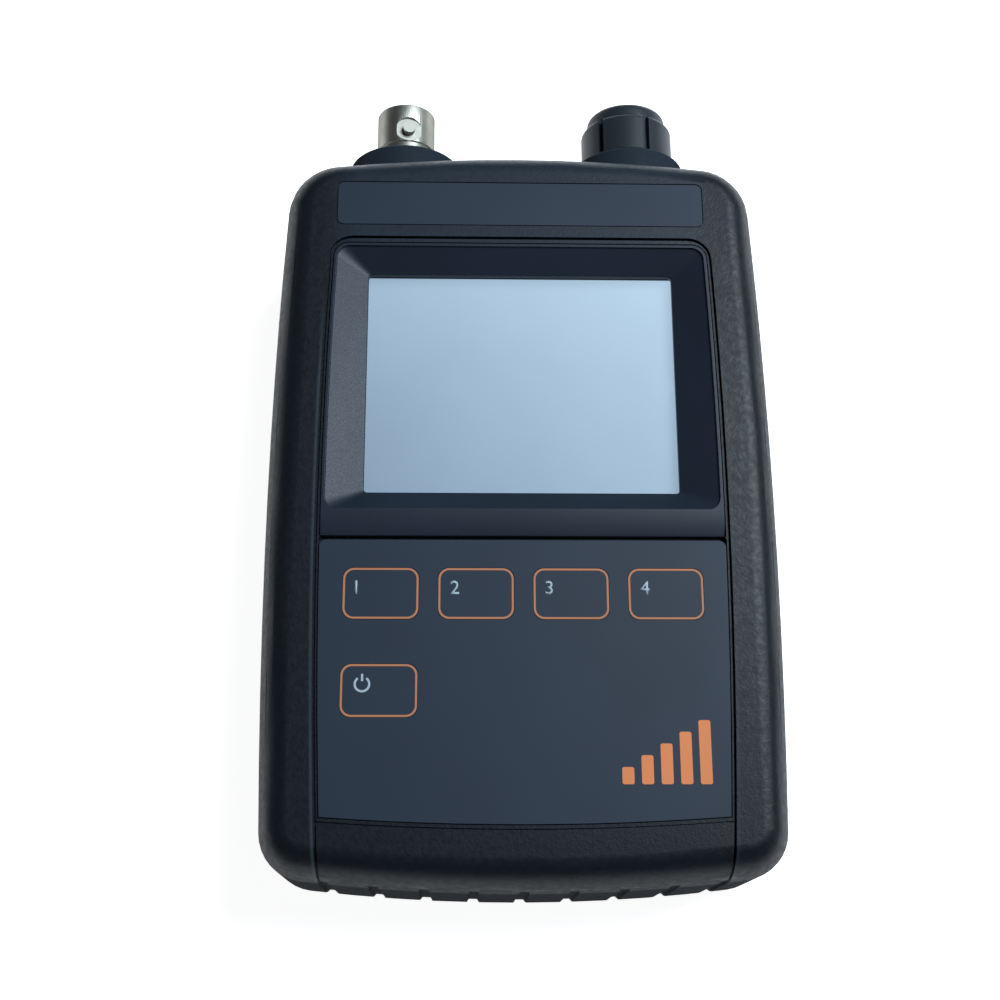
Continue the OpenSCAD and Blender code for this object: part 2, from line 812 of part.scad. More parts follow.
module lens_gasket() color("#1a1a1c") {
    translate([0, window_y, 0]) difference() {
        slab(lens_w, lens_h, 0.5, lens_z - gasket_t, gasket_t);
        slab(window_w + 1, window_h + 1, 0.5, lens_z - gasket_t - 1, gasket_t + 2);
    }
}

module lcd_panel() color("#8fa7b8") {
    translate([0, window_y, 0]) block(lcd_w - 2 * lcd_rim, lcd_h - lcd_rim, lcd_z + lcd_t - panel_t, panel_t);
}

module lcd_frame() color("#c9cdd0") {
    translate([0, window_y, 0]) difference() {
        block(lcd_w, lcd_h, lcd_z, lcd_t - gap);
        block(lcd_w - 2 * lcd_rim + gap, lcd_h - lcd_rim + gap, lcd_z + lcd_t - panel_t, panel_t);
    }
}

module lcd_tape() color("#e8e4d8") {
    for (s = [-1, 1]) translate([s * (lcd_w / 2 - 6), window_y, 0]) block(8, lcd_h - 6, board_top_z, tape_t);
}

// Flat cable from the display's lower edge down into its socket on the main board
module lcd_flex() color("#b5722a") {
    low = board_top_z + 3 * flex_t;
    high = lcd_z + 4 * flex_t;
    bend = lcd_bottom - flex_run;
    end = flex_socket_y + flex_tuck;
    translate([-flex_w / 2, 0, 0]) rotate([90, 0, 90]) linear_extrude(flex_w) polygon([
        [lcd_bottom, high], [bend, high], [bend - flex_bend, low + flex_t], [end, low + flex_t],
        [end, low], [bend - flex_bend, low], [bend, high - flex_t], [lcd_bottom, high - flex_t],
    ]);
}

module name_plate() color("#36424f") {
    translate([0, plate_y, 0]) slab(plate_w, plate_h, 1, body_t - plate_t, plate_t);
}

// ---------------------------------------------------------------- keypad

module keypad_overlay() color("#36424f") {
    translate([0, 0, film_z]) linear_extrude(film_t) difference() {
        keypad_outline(0, keypad_top);
        at_keys() key_outline(gap);
    }
}

module keypad_spacer() color("#d7d2c4") {
    translate([0, 0, spacer_z]) linear_extrude(spacer_t) difference() {
        keypad_outline(0.2, keypad_top - 0.2);
        at_keys() key_outline(0.3);
    }
}

module keypad_circuit() color("#c8b98a") {
    translate([0, 0, circuit_z]) linear_extrude(circuit_t) difference() {
        keypad_outline(0.2, keypad_top - 0.2);
        translate([0, tail_y]) polygon(rounded_rect(tail_w + 0.4, tail_t + 0.4, 0.2));
    }
}

// Low sprung discs under the keys, clear of the pressed keys
module key_domes() color("#d8dadc") {
    rise = spacer_t - key_travel - 0.1;
    r = (dome_d * dome_d / 4 + rise * rise) / (2 * rise);
    bow = asin(dome_d / 2 / r);
    at_keys() translate([0, 0, spacer_z]) rotate_extrude()
        polygon(concat([[0, 0]], arc([0, rise - r], r, 90 - bow, 90, 6)));
}

module keypad_tail() color("#c8b98a") {
    low = board_top_z + 1;
    translate([-tail_w / 2, tail_y - tail_t / 2, low]) cube([tail_w, tail_t, circuit_z + circuit_t - low]);
}

module key(i) color("#36424f") {
    translate([KEYS[i].x, KEYS[i].y, film_z]) linear_extrude(film_t) key_outline(0);
}

// ---------------------------------------------------------------- jack

module bnc_body() color("#c3c3bc") at_jack() {
    band = lug_drop - lug_d / 2 - 0.25;
    chamfer = 0.3;
    flat_r = neck_r - 0.1;
    difference() {
        union() {
            difference() {
                union() {
                    along_y(neck_r, rear_y, jack_end - rear_y - band);
                    along_y(barrel_r, jack_end - band, band - chamfer);
                    translate([0, jack_end - chamfer, 0]) rotate([-90, 0, 0])
                        cylinder(h = chamfer, r1 = barrel_r, r2 = barrel_r - chamfer);
                    along_y(flange_r, collar_top, flange_t);
                }
                // Flats milled round the lugs
                for (side = [0, 180]) at_lugs() rotate([side, 0, 0])
                    translate([0, 0, flat_r]) cylinder(h = 2, r = lug_flat_d / 2);
            }
            // Bayonet lugs, one in front and one behind
            at_lugs() translate([0, 0, -lug_span / 2]) cylinder(h = lug_span, r = lug_d / 2);
        }
        along_y(bore_r, jack_end - bore_deep, bore_deep + 1);
        along_y(core_r, rear_y - 1, body_l);
    }
}

module at_lugs() {
    rotate([0, -lug_turn, 0]) translate([0, jack_end - lug_drop, 0]) children();
}

module bnc_insulator() color("#eeeae0") at_jack() {
    difference() {
        union() {
            along_y(core_r - gap / 2, rear_y - 1, jack_end - bore_deep - rear_y + 1);
            along_y(core_r - sleeve_gap, jack_end - bore_deep - eps, bore_deep - 1.9 * sleeve_gap);
        }
        along_y(contact_r + 0.02, rear_y - 2, body_l);
    }
}

module bnc_contact() color("#d8b45a") at_jack() difference() {
    along_y(contact_r, rear_y - 3.5, jack_end - 2.2 - rear_y + 3.5);
    along_y(0.7, jack_end - 6, 5);
}

module bnc_washer() color("#b9bab8") at_jack() difference() {
    along_y(neck_r + 1.9, pad_y - washer_t, washer_t);
    along_y(neck_r + gap, pad_y - 2, 3);
}

module bnc_nut() color("#c3c3bc") at_jack() difference() {
    translate([0, pad_y - washer_t - nut_t, 0])
        rotate([-90, 30, 0])
            cylinder(h = nut_t, r = neck_r + 2.6, $fn = 6);
    along_y(neck_r + gap / 2, pad_y - 6, 7);
}

// Screened lead from the jack's contact to the wall of the shield can
module rf_lead() color("#2f2a26") {
    start = [-port_x, rear_y - 3.5, port_z];
    end = [-port_x, shield_y + shield_l / 2, board_z - shield_h / 2];
    tube([start, start + [0, -1, 0], (start + end) / 2, end + [0, 1, 0], end], 1.1);
}

// ---------------------------------------------------------------- knob and encoder

// A round shaft along +Y from y, with a flat in front that starts at flat_y
module d_shaft(r, y, l, flat_y) {
    difference() {
        along_y(r, y, l);
        translate([-r - 1, flat_y, r - shaft_flat]) cube([2 * r + 2, l, r]);
    }
}

module knob() color("#24292f") at_knob() {
    shoulder = 2.6;
    round = 0.8;
    dish = 0.2;
    top_r = knob_top_d / 2;
    lobe_r = knob_d / 2;
    difference() {
        translate([0, knob_y, 0]) rotate([-90, 0, 0]) difference() {
            rotate_extrude(convexity = 4) polygon(concat(
                [[0, 0], [lobe_r - 0.3, 0], [lobe_r, 0.3]],
                arc([lobe_r - round, knob_h - shoulder - round], round, 0, 90, 4),
                [[top_r + 0.05, knob_h - shoulder]],
                arc([top_r - 0.9, knob_h - 0.9], 0.9, 0, 90, 5),
                [[top_r - 2.4, knob_h], [top_r - 2.4 - dish, knob_h - dish], [0, knob_h - dish]]
            ));
            // Slots between the lobes
            for (i = [0:lobes - 1]) rotate(slot_turn + 360 * i / lobes - 90)
                translate([top_r, -lobe_slot / 2, -1]) cube([3, lobe_slot, knob_h - shoulder + 1.2]);
            // Hollow for the encoder's nut
            translate([0, 0, -1]) cylinder(h = 1 + bushing_l + 0.2, r = encoder_nut_r + 0.3);
        }
        d_shaft(shaft_d / 2 + 0.02, knob_y, shaft_end + 0.1 - knob_y, knob_y + bushing_l);
    }
}

module encoder_shaft() color("#b8babb") at_knob() {
    d_shaft(shaft_d / 2, pad_y - 4, shaft_end - pad_y + 4, collar_top + bushing_l + 0.4);
}

module encoder_body() color("#5c6166") at_knob() difference() {
    union() {
        translate([-encoder_w / 2, pad_y - encoder_l, -encoder_w / 2])
            cube([encoder_w, encoder_l, encoder_w - 0.4]);
        along_y(bushing_r, pad_y - eps, collar_top + bushing_l - pad_y + eps);
    }
    along_y(shaft_d / 2 + shaft_gap, pad_y - 4.2, half_l);
}

module encoder_washer() color("#b9bab8") at_knob() difference() {
    along_y(encoder_nut_r - 0.2, collar_top, encoder_washer_t);
    along_y(bushing_r + gap, collar_top - 1, 3);
}

module encoder_nut() color("#b8babb") at_knob() difference() {
    translate([0, collar_top + encoder_washer_t, 0])
        rotate([-90, 30, 0]) cylinder(h = encoder_nut_t, r = encoder_nut_r, $fn = 6);
    along_y(bushing_r + gap / 2, collar_top - 1, 5);
}

module encoder_board() color("#2f6b45") at_knob() {
    translate([0, encoder_back + encoder_board_t / 2, 0])
        block(encoder_w + 1.6, encoder_board_t, -encoder_w / 2 - 0.8, encoder_w - 1.4);
}

// Three leads from the encoder's board to the main board
module encoder_leads() color("#a33b2f") {
    low = port_z - 1;
    for (i = [-1:1]) {
        x = port_x + 2 * i;
        tube([
            [x, encoder_back, low], [x, encoder_back - 1.5, low], [x, encoder_back - 2.8, low + 1],
            [x, encoder_back - 3.5, board_z - 1.5], [x, encoder_back - 3.5, board_z],
        ], lead_r);
    }
}

// ---------------------------------------------------------------- electronics

module main_board() color("#2f6b45") {
    notch = boss_r + 0.6;
    translate([0, 0, board_z]) linear_extrude(board_t) difference() {
        translate([-board_w / 2, board_bottom]) square([board_w, board_top - board_bottom]);
        for (x = [-1, 1], y = [-1, 1]) translate([x * half_w, y * half_l])
            square([2 * (half_w - boss_x + notch), 2 * (half_l - boss_y + notch)], center = true);
        at_posts() circle(r = board_screw_r + 0.15);
    }
}

module board_screws() color("#3a3c3e") {
    at_posts() translate([0, 0, board_z - board_head_h]) {
        cylinder(h = board_head_h, r = board_head_r);
        cylinder(h = board_head_h + board_t + board_grip, r = board_screw_r);
    }
}

module rf_shield() color("#b4b8ba") {
    translate([shield_x, shield_y, 0]) block(shield_w, shield_l, board_z - shield_h, shield_h);
}

module processor() color("#1b1c1e") {
    translate([chip_x, shield_y - 6, 0]) block(chip_w, chip_w, board_z - chip_h, chip_h);
}

module buzzer() color("#1b1c1e") {
    translate([chip_x, row_y, board_z - buzzer_h]) difference() {
        cylinder(h = buzzer_h, r = buzzer_d / 2);
        translate([0, 0, -1]) cylinder(h = 2, r = 0.8);
    }
}

// Sockets for the keypad's tail and the display's flat cable in front, and the battery's plug behind
module board_sockets() color("#e6e1d2") {
    translate([0, tail_y, 0]) difference() {
        block(tail_w + 3, 3, board_top_z, 2);
        block(tail_w + 2 * gap, tail_t + 2 * gap, board_top_z + 1 - gap, 3);
    }
    translate([0, flex_socket_y, 0]) difference() {
        block(flex_w + 3, 4, board_top_z, 1.8);
        translate([0, 2, 0]) block(flex_w + 2 * gap, 3, board_top_z + 3 * flex_t - gap, flex_t + 2 * gap);
    }
    translate([plug_x, plug_y, 0]) block(plug_w, 5, board_z - plug_h, plug_h);
}

module charging_socket() color("#bfc2c4") {
    wall_t = 0.4;
    translate([usb_x, usb_y, board_z - usb_h]) {
        difference() {
            translate([0, -usb_w / 2, 0]) cube([usb_l, usb_w, usb_h]);
            translate([2, wall_t - usb_w / 2, wall_t]) cube([usb_l, usb_w - 2 * wall_t, usb_h - 2 * wall_t]);
        }
        translate([1.5, 1.4 - usb_w / 2, usb_h / 2 - 0.5]) cube([usb_l - 2.5, usb_w - 2.8, 1]);
    }
}

module battery_pack() color("#3c6f9e") {
    translate([0, battery_y, 0]) slab(battery_w, battery_l, 1.5, battery_z, battery_t);
}

module battery_pad() color("#2a2a2c") {
    translate([0, battery_y, 0]) block(battery_w - 6, battery_l - 6, wall, pad_t);
}

// Two leads from the battery's upper end to its plug under the main board
module battery_leads() color("#b03a30") {
    y0 = battery_y + battery_l / 2;
    z0 = battery_z + battery_t - 2;
    z1 = board_z - plug_h;
    for (x = [plug_x - 1, plug_x + 1]) tube([
        [x, y0, z0], [x, y0 + 1.2, z0], [x, y0 + 2.6, z0 + 1.2],
        [x, (y0 + 2.6 + plug_y) / 2, (z0 + 1.2 + z1 - 1.5) / 2],
        [x, plug_y, z1 - 1.5], [x, plug_y, z1],
    ], lead_r);
}

// ---------------------------------------------------------------- nodes

front_cover();
rear_cover();
case_screws();
screw_inserts();
display_bezel();
display_lens();
lens_gasket();
lcd_panel();
lcd_frame();
lcd_tape();
lcd_flex();
name_plate();
keypad_overlay();
keypad_spacer();
keypad_circuit();
key_domes();
keypad_tail();
key(0);  // key_f1
key(1);  // key_f2
key(2);  // key_f3
key(3);  // key_f4
key(4);  // key_power
bnc_body();
bnc_insulator();
bnc_contact();
bnc_washer();
bnc_nut();
rf_lead();
knob();
encoder_shaft();
encoder_body();
encoder_washer();
encoder_nut();
encoder_board();
encoder_leads();
main_board();
board_screws();
rf_shield();
processor();
buzzer();
board_sockets();
charging_socket();
battery_pack();
battery_pad();
battery_leads();
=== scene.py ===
"""The finished looks of a hand-held antenna analyzer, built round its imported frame."""
import json
import math

import bpy
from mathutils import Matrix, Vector

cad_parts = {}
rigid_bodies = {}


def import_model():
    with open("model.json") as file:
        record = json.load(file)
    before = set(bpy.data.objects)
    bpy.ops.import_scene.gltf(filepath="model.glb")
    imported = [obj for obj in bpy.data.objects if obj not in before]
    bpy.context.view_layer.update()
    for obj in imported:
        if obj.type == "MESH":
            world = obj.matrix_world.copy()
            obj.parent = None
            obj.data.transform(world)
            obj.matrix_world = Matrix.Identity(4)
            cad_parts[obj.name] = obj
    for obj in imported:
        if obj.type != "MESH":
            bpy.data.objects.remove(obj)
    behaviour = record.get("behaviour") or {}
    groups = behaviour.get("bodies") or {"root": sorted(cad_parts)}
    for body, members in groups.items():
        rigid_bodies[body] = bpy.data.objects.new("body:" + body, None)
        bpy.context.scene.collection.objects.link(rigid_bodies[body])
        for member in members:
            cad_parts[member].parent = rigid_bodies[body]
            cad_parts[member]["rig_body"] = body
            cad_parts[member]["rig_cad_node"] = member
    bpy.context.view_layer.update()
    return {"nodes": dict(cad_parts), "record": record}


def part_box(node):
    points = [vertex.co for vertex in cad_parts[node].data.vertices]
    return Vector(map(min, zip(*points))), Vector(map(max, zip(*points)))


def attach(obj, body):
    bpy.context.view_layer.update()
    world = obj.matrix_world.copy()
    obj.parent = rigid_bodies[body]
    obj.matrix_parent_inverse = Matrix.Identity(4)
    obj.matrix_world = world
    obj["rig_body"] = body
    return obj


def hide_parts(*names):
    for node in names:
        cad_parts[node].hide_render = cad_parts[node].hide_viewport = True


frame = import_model()

MM = 0.001
TURN = math.tau
CLOSE = 0.001 * MM  # new points nearer than this are one
NODE_CLOSE = 0.002 * MM  # and so are a CAD node's
NODE_FLAT = 0.4  # degrees between faces of a CAD node that are one
KEYS = ("key_f1", "key_f2", "key_f3", "key_f4", "key_power")

# The two seams are arcs, SEAM_HALF from the middle where they are widest
SEAM_HALF = 30.4 * MM
SEAM_R = 930 * MM

# The housing's grain: leathery cells, soft patches and a fine roughness, each with its relief
CELL_SIZE, CELL_DEPTH = 0.5 * MM, 0.015 * MM
PATCH_SIZE, PATCH_DEPTH = 0.9 * MM, 0.005 * MM
FINE_SIZE, FINE_DEPTH = 0.28 * MM, 0.018 * MM

# It is paler above the display, between the rails, and a little in clouds everywhere
PALER_ACROSS = (25 * MM, 31 * MM)
PALER_UP = (34 * MM, 42 * MM)
CLOUD_SIZE, CLOUD_PALER = 22 * MM, 0.12

# A painted highlight: a pale line just outside each seam, beside the keypad, where the ridge catches
# the window's light, less at the right
SEAM_SHINE_STARTS, SEAM_SHINE_ENDS = (0.2 * MM, 0.35 * MM), (0.45 * MM, 0.8 * MM)
SEAM_SHINE_FADES_UP = (18 * MM, 32 * MM)
SEAM_SHINE_FACE = (20 * MM, 26 * MM)
SEAM_SHINE_ACROSS, SEAM_SHINE_AT_RIGHT = (-10 * MM, 10 * MM), 0.3

# Its walls are matt, from just above the back up to the rounded edge of the face
WALL_STARTS, WALL_ENDS = (1 * MM, 6 * MM), (21 * MM, 28.5 * MM)
WALL_SPECULAR = 0.03
WALL_ROUGHER = 0.45

# Painted light on the display: it glows more to the right and more towards its top, where the window
# lights it
SCREEN_ACROSS, SCREEN_UP = (-24 * MM, 24 * MM), (0, 36 * MM)
PAINTED_LIGHT_ACROSS, PAINTED_LIGHT_UP = (-0.08, 0.42), (-0.05, 0.43)
GLOW_CLOUD_SIZE, GLOW_CLOUD = 26 * MM, 0.25

# How far edges are rounded
COVER_EDGE = 0.18 * MM
BEZEL_EDGE = 0.2 * MM
PLATE_EDGE = 0.08 * MM
OVERLAY_EDGE = 0.05 * MM
KEY_EDGE = 0.04 * MM
JACK_EDGE = 0.1 * MM

# The jack is a turned barrel with a neck and a flange; its two lugs stand on milled flats
JACK_R = 4.85 * MM
JACK_NECK_R = 4.55 * MM
JACK_BAND = 6.9 * MM
JACK_BORE_R = 4.05 * MM
JACK_BORE_DEEP = 8.6 * MM
JACK_FLANGE_R = 6.3 * MM
JACK_FLANGE_THICK = 1.4 * MM
JACK_FLANGE_EDGE = 0.2 * MM
JACK_SHOULDER = 0.15 * MM
JACK_CHAMFER = 0.3 * MM
JACK_ROUND_IN, JACK_ROUND_DOWN = 0.12 * MM, 0.1 * MM
JACK_BORE_LIP = 0.12 * MM
JACK_PLAY = 0.02 * MM
LUG_DROP = 4.75 * MM
LUG_R = 1.05 * MM
LUG_HALF_SPAN = 5.5 * MM
LUG_FLAT_R = 2.2 * MM
LUG_FLAT = 4.4 * MM
LUG_TURN = -8  # degrees
LUG_ROOT = 0.2 * MM

# Printing: frames round the keys, and marks in a key's upper left part
INK = 0.03 * MM
FRAME_LINE = 0.29 * MM
FRAME_CORNER = 1.6 * MM
FRAME_IN = 0.04 * MM
LABEL_IN = 1.75 * MM
LABEL_UP = 0.9 * MM
CAP_HEIGHT = 2.0 * MM
LETTER_SIZE = 3 * MM
LETTER_FATTER = 0.02 * MM
SIGN_IN = 3.1 * MM
SIGN_R = 1.03 * MM
SIGN_LINE = 0.31 * MM
SIGN_HALF_GAP = math.radians(32)
STROKE_UP = 0.95 * MM
STROKE_LENGTH = 1.05 * MM
BARS = 5
BAR_LEFT, BAR_FOOT = 13.6 * MM, -43.2 * MM
BAR_WIDE, BAR_STEP = 1.7 * MM, 2.75 * MM
BAR_LOWEST, BAR_RISE = 2.4 * MM, 1.65 * MM
BAR_CORNER = 0.3 * MM

# The overlay's openings are wider than the keys by KEY_PLAY, and are drawn in to KEY_SHUT
KEY_PLAY, KEY_SHUT = 0.24 * MM, 0.05 * MM
KEY_NEAR = 0.3 * MM

# The stage
FLOOR_DROP = 0.1 * MM
FLOOR_SIZE = 6
FLOOR_COLOUR = (0.93, 0.93, 0.93)
FLOOR_GLOW = 0.93
FLOOR_GLOW_FAR = 0.6
FLOOR_NEAR, FLOOR_FAR = 0.2, 0.7
SKY_COLOUR, SKY_STRENGTH = (0.75, 0.85, 1.0), 0.04
WINDOW_PLACE, WINDOW_TARGET = (0.33, 0.22, 0.6), (0, 0, 0.02)
WINDOW_SIZE, WINDOW_POWER = (0.36, 0.34), 5.8
WINDOW_COLOUR = (0.78, 0.9, 1.0)
CAMERA_PLACE = (-8.96 * MM, -69.24 * MM, 240.8 * MM)
CAMERA_TURN = (17.765, -1.444, -0.21)  # degrees
CAMERA_LENS = 54


# ------------------------------------------------------------------ finishes

def finish(name, colour, roughness, metal=0.0, specular=0.5):
    """A new material with its fixed values set; returns it, its node tree and its shader."""
    material = bpy.data.materials.new(name)
    material.use_nodes = True
    tree = material.node_tree
    shader = tree.nodes["Principled BSDF"]
    shader.inputs["Base Color"].default_value = (*colour, 1)
    shader.inputs["Roughness"].default_value = roughness
    shader.inputs["Metallic"].default_value = metal
    shader.inputs["Specular IOR Level"].default_value = specular
    material.diffuse_color = (*colour, 1)
    return material, tree, shader


def object_place(tree):
    """The socket that gives a point's place on the object, in metres."""
    return tree.nodes.new("ShaderNodeTexCoord").outputs["Object"]


def noise(tree, place, size, detail=3.0, rough=0.5):
    """Soft noise with spots of the given size."""
    node = tree.nodes.new("ShaderNodeTexNoise")
    node.inputs["Scale"].default_value = 1 / size
    node.inputs["Detail"].default_value = detail
    node.inputs["Roughness"].default_value = rough
    tree.links.new(place, node.inputs["Vector"])
    return node.outputs["Fac"]


def cells(tree, place, size):
    """Rounded cells of the given size, as in leather."""
    node = tree.nodes.new("ShaderNodeTexVoronoi")
    node.feature = "SMOOTH_F1"
    node.inputs["Scale"].default_value = 1 / size
    tree.links.new(place, node.inputs["Vector"])
    return node.outputs["Distance"]


def spread(tree, value, low, high, out_low, out_high):
    """Maps a value from one range to another."""
    node = tree.nodes.new("ShaderNodeMapRange")
    node.inputs["From Min"].default_value = low
    node.inputs["From Max"].default_value = high
    node.inputs["To Min"].default_value = out_low
    node.inputs["To Max"].default_value = out_high
    tree.links.new(value, node.inputs["Value"])
    return node.outputs["Result"]


def reckoned(tree, operation, *values):
    """The result of a math operation on values, each a socket or a number."""
    node = tree.nodes.new("ShaderNodeMath")
    node.operation = operation
    for socket, value in zip(node.inputs, values):
        if isinstance(value, (int, float)):
            socket.default_value = value
        else:
            tree.links.new(value, socket)
    return node.outputs[0]


def product(tree, first, *others):
    """The product of values, each a socket or a number."""
    for other in others:
        first = reckoned(tree, "MULTIPLY", first, other)
    return first


def coordinates(tree, place):
    """The place's X, Y and Z."""
    node = tree.nodes.new("ShaderNodeSeparateXYZ")
    tree.links.new(place, node.inputs[0])
    return node.outputs["X"], node.outputs["Y"], node.outputs["Z"]


def mixed(tree, amount, first, second):
    """The colour that goes from first to second as amount goes from 0 to 1."""
    node = tree.nodes.new("ShaderNodeMix")
    node.data_type = "RGBA"
    for socket, colour in ((node.inputs[6], first), (node.inputs[7], second)):
        if isinstance(colour, tuple):
            socket.default_value = (*colour, 1)
        else:
            tree.links.new(colour, socket)
    tree.links.new(amount, node.inputs[0])
    return node.outputs[2]


def raised(tree, shader, height, depth, after=None):
    """Gives the surface a relief of that depth; returns its normal, for another relief on top."""
    node = tree.nodes.new("ShaderNodeBump")
    node.inputs["Strength"].default_value = 1
    node.inputs["Distance"].default_value = depth
    tree.links.new(height, node.inputs["Height"])
    if after is not None:
        tree.links.new(after, node.inputs["Normal"])
    tree.links.new(node.outputs["Normal"], shader.inputs["Normal"])
    return node.outputs["Normal"]


def moulded(name, colour, roughness, grain=0.25 * MM, depth=0.004 * MM, tone=0.12, specular=0.5):
    """Moulded plastic: a fine grain, and a slow change of tone and gloss."""
    material, tree, shader = finish(name, colour, roughness, specular=specular)
    place = object_place(tree)
    fine = noise(tree, place, grain, 2)
    slow = noise(tree, place, 18 * MM, 2)
    darker = tuple(c * (1 - tone) for c in colour)
    lighter = tuple(min(1, c * (1 + tone)) for c in colour)
    tone_at = spread(tree, slow, 0.3, 0.7, 0, 1)
    gloss = spread(tree, fine, 0.3, 0.7, roughness - 0.05, roughness + 0.06)
    tree.links.new(mixed(tree, tone_at, darker, lighter), shader.inputs["Base Color"])
    tree.links.new(gloss, shader.inputs["Roughness"])
    raised(tree, shader, fine, depth)
    return material


def painted_seam_highlight(tree, x, y, z):
    """How much painted highlight lies on the housing outside its seams: most at the keypad's left.
    """
    bow = reckoned(tree, "DIVIDE", product(tree, y, y), 2 * SEAM_R)
    bowed = reckoned(tree, "ADD", reckoned(tree, "ABSOLUTE", x), bow)
    past_seam = reckoned(tree, "SUBTRACT", bowed, SEAM_HALF)
    return product(
        tree,
        spread(tree, past_seam, *SEAM_SHINE_STARTS, 0, 1),
        spread(tree, past_seam, *SEAM_SHINE_ENDS, 1, 0),
        spread(tree, y, *SEAM_SHINE_FADES_UP, 1, 0),
        spread(tree, z, *SEAM_SHINE_FACE, 0, 1),
        spread(tree, x, *SEAM_SHINE_ACROSS, 1, SEAM_SHINE_AT_RIGHT),
    )


def leather_grained(name, colour, paler_tone, seam_highlight_colour, roughness, specular):
    """Housing plastic: grained, paler above the display, with a painted highlight outside its seams,
    matt on its walls.
    """
    material, tree, shader = finish(name, colour, roughness, specular=specular)
    place = object_place(tree)
    x, y, z = coordinates(tree, place)
    hide = cells(tree, place, CELL_SIZE)
    patches = noise(tree, place, PATCH_SIZE, 2)
    fine = noise(tree, place, FINE_SIZE, 2)
    clouds = noise(tree, place, CLOUD_SIZE, 3)

    inner = spread(tree, reckoned(tree, "ABSOLUTE", x), *PALER_ACROSS, 1, 0)
    upper = spread(tree, y, *PALER_UP, 0, 1)
    paler_amount = reckoned(tree, "ADD", product(tree, clouds, CLOUD_PALER), product(tree, inner, upper))
    tone = mixed(tree, paler_amount, colour, paler_tone)
    # the pale line outside the seams is a painted highlight
    tree.links.new(mixed(tree, painted_seam_highlight(tree, x, y, z), tone, seam_highlight_colour), shader.inputs["Base Color"])

    below_face = spread(tree, z, *WALL_ENDS, 1, 0)
    above_back = spread(tree, z, *WALL_STARTS, 0, 1)
    walls = product(tree, below_face, above_back)
    shine = spread(tree, walls, 0, 1, specular, WALL_SPECULAR)
    tree.links.new(shine, shader.inputs["Specular IOR Level"])
    gloss = spread(tree, patches, 0.35, 0.65, roughness - 0.05, roughness + 0.06)
    duller = product(tree, walls, WALL_ROUGHER)
    tree.links.new(reckoned(tree, "ADD", gloss, duller), shader.inputs["Roughness"])
    first = raised(tree, shader, patches, PATCH_DEPTH)
    second = raised(tree, shader, hide, CELL_DEPTH, first)
    raised(tree, shader, fine, FINE_DEPTH, second)
    return material


def plated(name, colour, roughness, cell=0.35 * MM, depth=0.002 * MM, rim=1.0):
    """Plated metal, finely marked and slowly changing tone; rim is its shine edge-on."""
    material, tree, shader = finish(name, colour, roughness, metal=1)
    shader.inputs["Specular Tint"].default_value = (rim, rim, rim, 1)
    place = object_place(tree)
    marks = noise(tree, place, cell, 4, 0.6)
    slow = noise(tree, place, 4 * MM, 2)
    duller = tuple(c * 0.82 for c in colour)
    tone_at = spread(tree, slow, 0.35, 0.65, 0, 1)
    gloss = spread(tree, marks, 0.3, 0.7, roughness - 0.06, roughness + 0.1)
    tree.links.new(mixed(tree, tone_at, duller, colour), shader.inputs["Base Color"])
    tree.links.new(gloss, shader.inputs["Roughness"])
    raised(tree, shader, marks, depth)
    return material


def lit_screen(name, low_side, high_side):
    """The display, pale blue, with painted light making it brighter towards its upper right corner,
    on the window's side.
    """
    material, tree, shader = finish(name, (0.02, 0.03, 0.04), 0.5, specular=0.2)
    place = object_place(tree)
    x, y, _ = coordinates(tree, place)
    rightward = spread(tree, x, *SCREEN_ACROSS, *PAINTED_LIGHT_ACROSS)
    upward = spread(tree, y, *SCREEN_UP, *PAINTED_LIGHT_UP)
    # painted light: brighter towards the window at the upper right
    painted_light = reckoned(tree, "ADD", rightward, upward)
    clouds = noise(tree, place, GLOW_CLOUD_SIZE, 2)
    uneven = reckoned(tree, "MULTIPLY_ADD", clouds, GLOW_CLOUD, painted_light)
    colour = mixed(tree, uneven, low_side, high_side)
    tree.links.new(colour, shader.inputs["Emission Color"])
    shader.inputs["Emission Strength"].default_value = 1
    return material


def clear_plastic(name):
    """The clear lens: a faint reflection over what lies behind it."""
    material, tree, shader = finish(name, (0.75, 0.82, 0.9), 0.08, specular=0.35)
    shader.inputs["Alpha"].default_value = 0.06
    smear = noise(tree, object_place(tree), 9 * MM, 4)
    tree.links.new(spread(tree, smear, 0.3, 0.7, 0.05, 0.12), shader.inputs["Roughness"])
    return material


